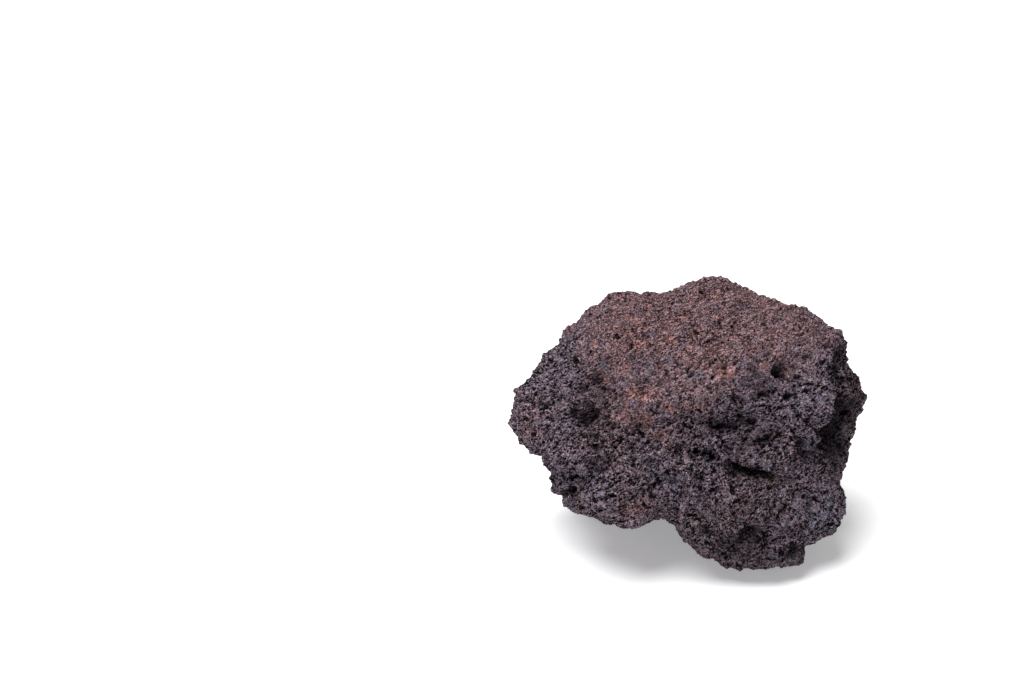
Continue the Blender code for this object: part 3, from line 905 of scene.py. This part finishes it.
def scoria_material():
    g = Graph("scoria")
    place = g.place()
    swirl = g.node("ShaderNodeTexNoise", Vector=place, Scale=1 / (SWIRL_SIZE * MM))
    shift = g.node("ShaderNodeVectorMath", {"operation": "MULTIPLY_ADD"}, _0=swirl.outputs["Color"],
                   _1=(SWIRL_REACH * MM,) * 3, _2=place).outputs[0]
    slant = g.node("ShaderNodeMapping", {"vector_type": "TEXTURE"}, Vector=shift,
                   Rotation=GRAIN_TURN, Scale=(1, 1, GRAIN_LENGTH)).outputs[0]
    speck = g.noise(place, *SPECK)
    rust = g.field("rust")
    crust = g.maths("MAXIMUM", rust, g.maths("MULTIPLY", g.field("orange"), 0.9))

    stone = stone_colour(g, place, slant, rust)
    stone, clasts = add_clasts(g, stone, shift, crust)
    relief, pore_shade = pores_and_domes(g, slant, speck, crust, clasts)
    # painted highlight on the raised specks and painted shade in the low ones, from the same noise
    # that raises the relief
    stone = g.mix(g.remap(speck, 0.50, 0.63, 0.0, 0.95), stone, CREST_HIGHLIGHT)
    stone = g.mix(g.remap(speck, 0.49, 0.34, 0.0, 0.95), stone, SHADOW_BLACK)
    # painted shade inside the pores and in the gaps between the domes
    stone = g.mix(pore_shade, stone, SHADOW_BLACK)
    # painted shade: the deeper the bowl, bubble or hollow, the darker the colour, as if in shadow
    for name, start, full, most in DEPTH_SHADE:
        stone = g.mix(g.remap(g.field(name), start, full, 0.0, most), stone, SHADOW_BLACK)
    # painted shade: the places of painted shade darkened towards black as if in shadow
    stone = g.mix(g.maths("MULTIPLY", g.field("painted_shade"), 0.9), stone, SHADOW_BLACK)

    g.put(g.shader.inputs["Base Color"], stone)
    g.shader.inputs["Roughness"].default_value = 0.92
    g.shader.inputs["Specular IOR Level"].default_value = 0.08
    bump = g.node("ShaderNodeBump", Height=relief, Distance=1.0 * MM, Strength=1.0)
    g.put(g.shader.inputs["Normal"], bump.outputs[0])
    return g.material


def floor_material():
    g = Graph("studio_floor")
    g.shader.inputs["Base Color"].default_value = (*FLOOR_COLOUR, 1)
    g.shader.inputs["Emission Color"].default_value = (*FLOOR_COLOUR, 1)
    g.shader.inputs["Emission Strength"].default_value = FLOOR_GLOW
    g.shader.inputs["Roughness"].default_value = 0.9
    g.shader.inputs["Specular IOR Level"].default_value = 0.1
    return g.material


# ---- stage ----

FLOOR_COLOUR = (0.88, 0.88, 0.89)
FLOOR_GLOW = 0.35                 # the floor is a lit table, which softens the shadow
FLOOR_REACH = 6.0                 # m from the middle to the floor's edge
SUN_POWER = 4.2
SUN_SPREAD = math.radians(42)     # as wide as a large soft box
SUN_FROM = (-0.25, -0.12, 1.0)    # a soft light from above, a little left
SKY = 0.22                        # light from all around
BACKGROUND = 1.0                  # the white that shows past the floor

LENS = 85.0                       # mm
SENSOR = 36.0
PICTURE_WIDTH = 1024
ROCK_SCALE = 0.5 * MM             # m to a pixel at the rock
ROCK_PIXEL = (688, 424)           # where the middle of the rock shows
PICTURE_MIDDLE = (512, 341.5)


def add_floor():
    r = FLOOR_REACH
    corners = np.array([(-r, -r, 0), (r, -r, 0), (r, r, 0), (-r, r, 0)])
    mesh = mesh_from("studio_floor", corners, np.array([(0, 1, 2, 3)]))
    mesh.materials.append(floor_material())
    floor = bpy.data.objects.new("studio_floor", mesh)
    bpy.context.scene.collection.objects.link(floor)


def add_light():
    sun = bpy.data.lights.new("soft_sun", "SUN")
    sun.energy = SUN_POWER
    sun.angle = SUN_SPREAD
    lamp = bpy.data.objects.new("soft_sun", sun)
    lamp.rotation_euler = Vector(SUN_FROM).to_track_quat("Z", "Y").to_euler()
    bpy.context.scene.collection.objects.link(lamp)
    world = bpy.data.worlds.new("studio")
    world.use_nodes = True
    nodes, links = world.node_tree.nodes, world.node_tree.links
    sky = nodes["Background"]
    sky.inputs["Strength"].default_value = SKY
    backdrop = nodes.new("ShaderNodeBackground")
    backdrop.inputs["Strength"].default_value = BACKGROUND
    for shade in (sky, backdrop):
        shade.inputs["Color"].default_value = (1, 1, 1, 1)
    seen = nodes.new("ShaderNodeLightPath")
    either = nodes.new("ShaderNodeMixShader")
    links.new(seen.outputs["Is Camera Ray"], either.inputs[0])
    links.new(sky.outputs[0], either.inputs[1])
    links.new(backdrop.outputs[0], either.inputs[2])
    links.new(either.outputs[0], nodes["World Output"].inputs["Surface"])
    bpy.context.scene.world = world


def add_camera():
    """Straight in front of the rock, looking down at it, aimed left of it and above it."""
    right, up, out = (Vector(row) for row in tilted_axes())
    rock = Vector(MIDDLE) * MM
    distance = ROCK_SCALE * PICTURE_WIDTH * LENS / SENSOR
    aim = rock + ROCK_SCALE * ((PICTURE_MIDDLE[0] - ROCK_PIXEL[0]) * right
                               + (ROCK_PIXEL[1] - PICTURE_MIDDLE[1]) * up)
    view = bpy.data.cameras.new("camera")
    view.lens = LENS
    view.sensor_width = SENSOR
    camera = bpy.data.objects.new("camera", view)
    camera.location = rock + distance * out
    ahead = (aim - camera.location).normalized()
    level = (right - right.dot(ahead) * ahead).normalized()
    camera.rotation_euler = Matrix((level, level.cross(ahead), -ahead)).transposed().to_euler()
    bpy.context.scene.collection.objects.link(camera)
    bpy.context.scene.camera = camera


add_camera()
add_light()
add_floor()
bpy.context.scene.view_settings.view_transform = "Standard"

scoria = scoria_material()
skin = make_skin()
skin.data.materials.clear()
skin.data.materials.append(scoria)
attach(skin, "root")
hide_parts("lava_rock")
crumbs = make_crumbs()
crumbs.data.materials.append(scoria)
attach(crumbs, "root")
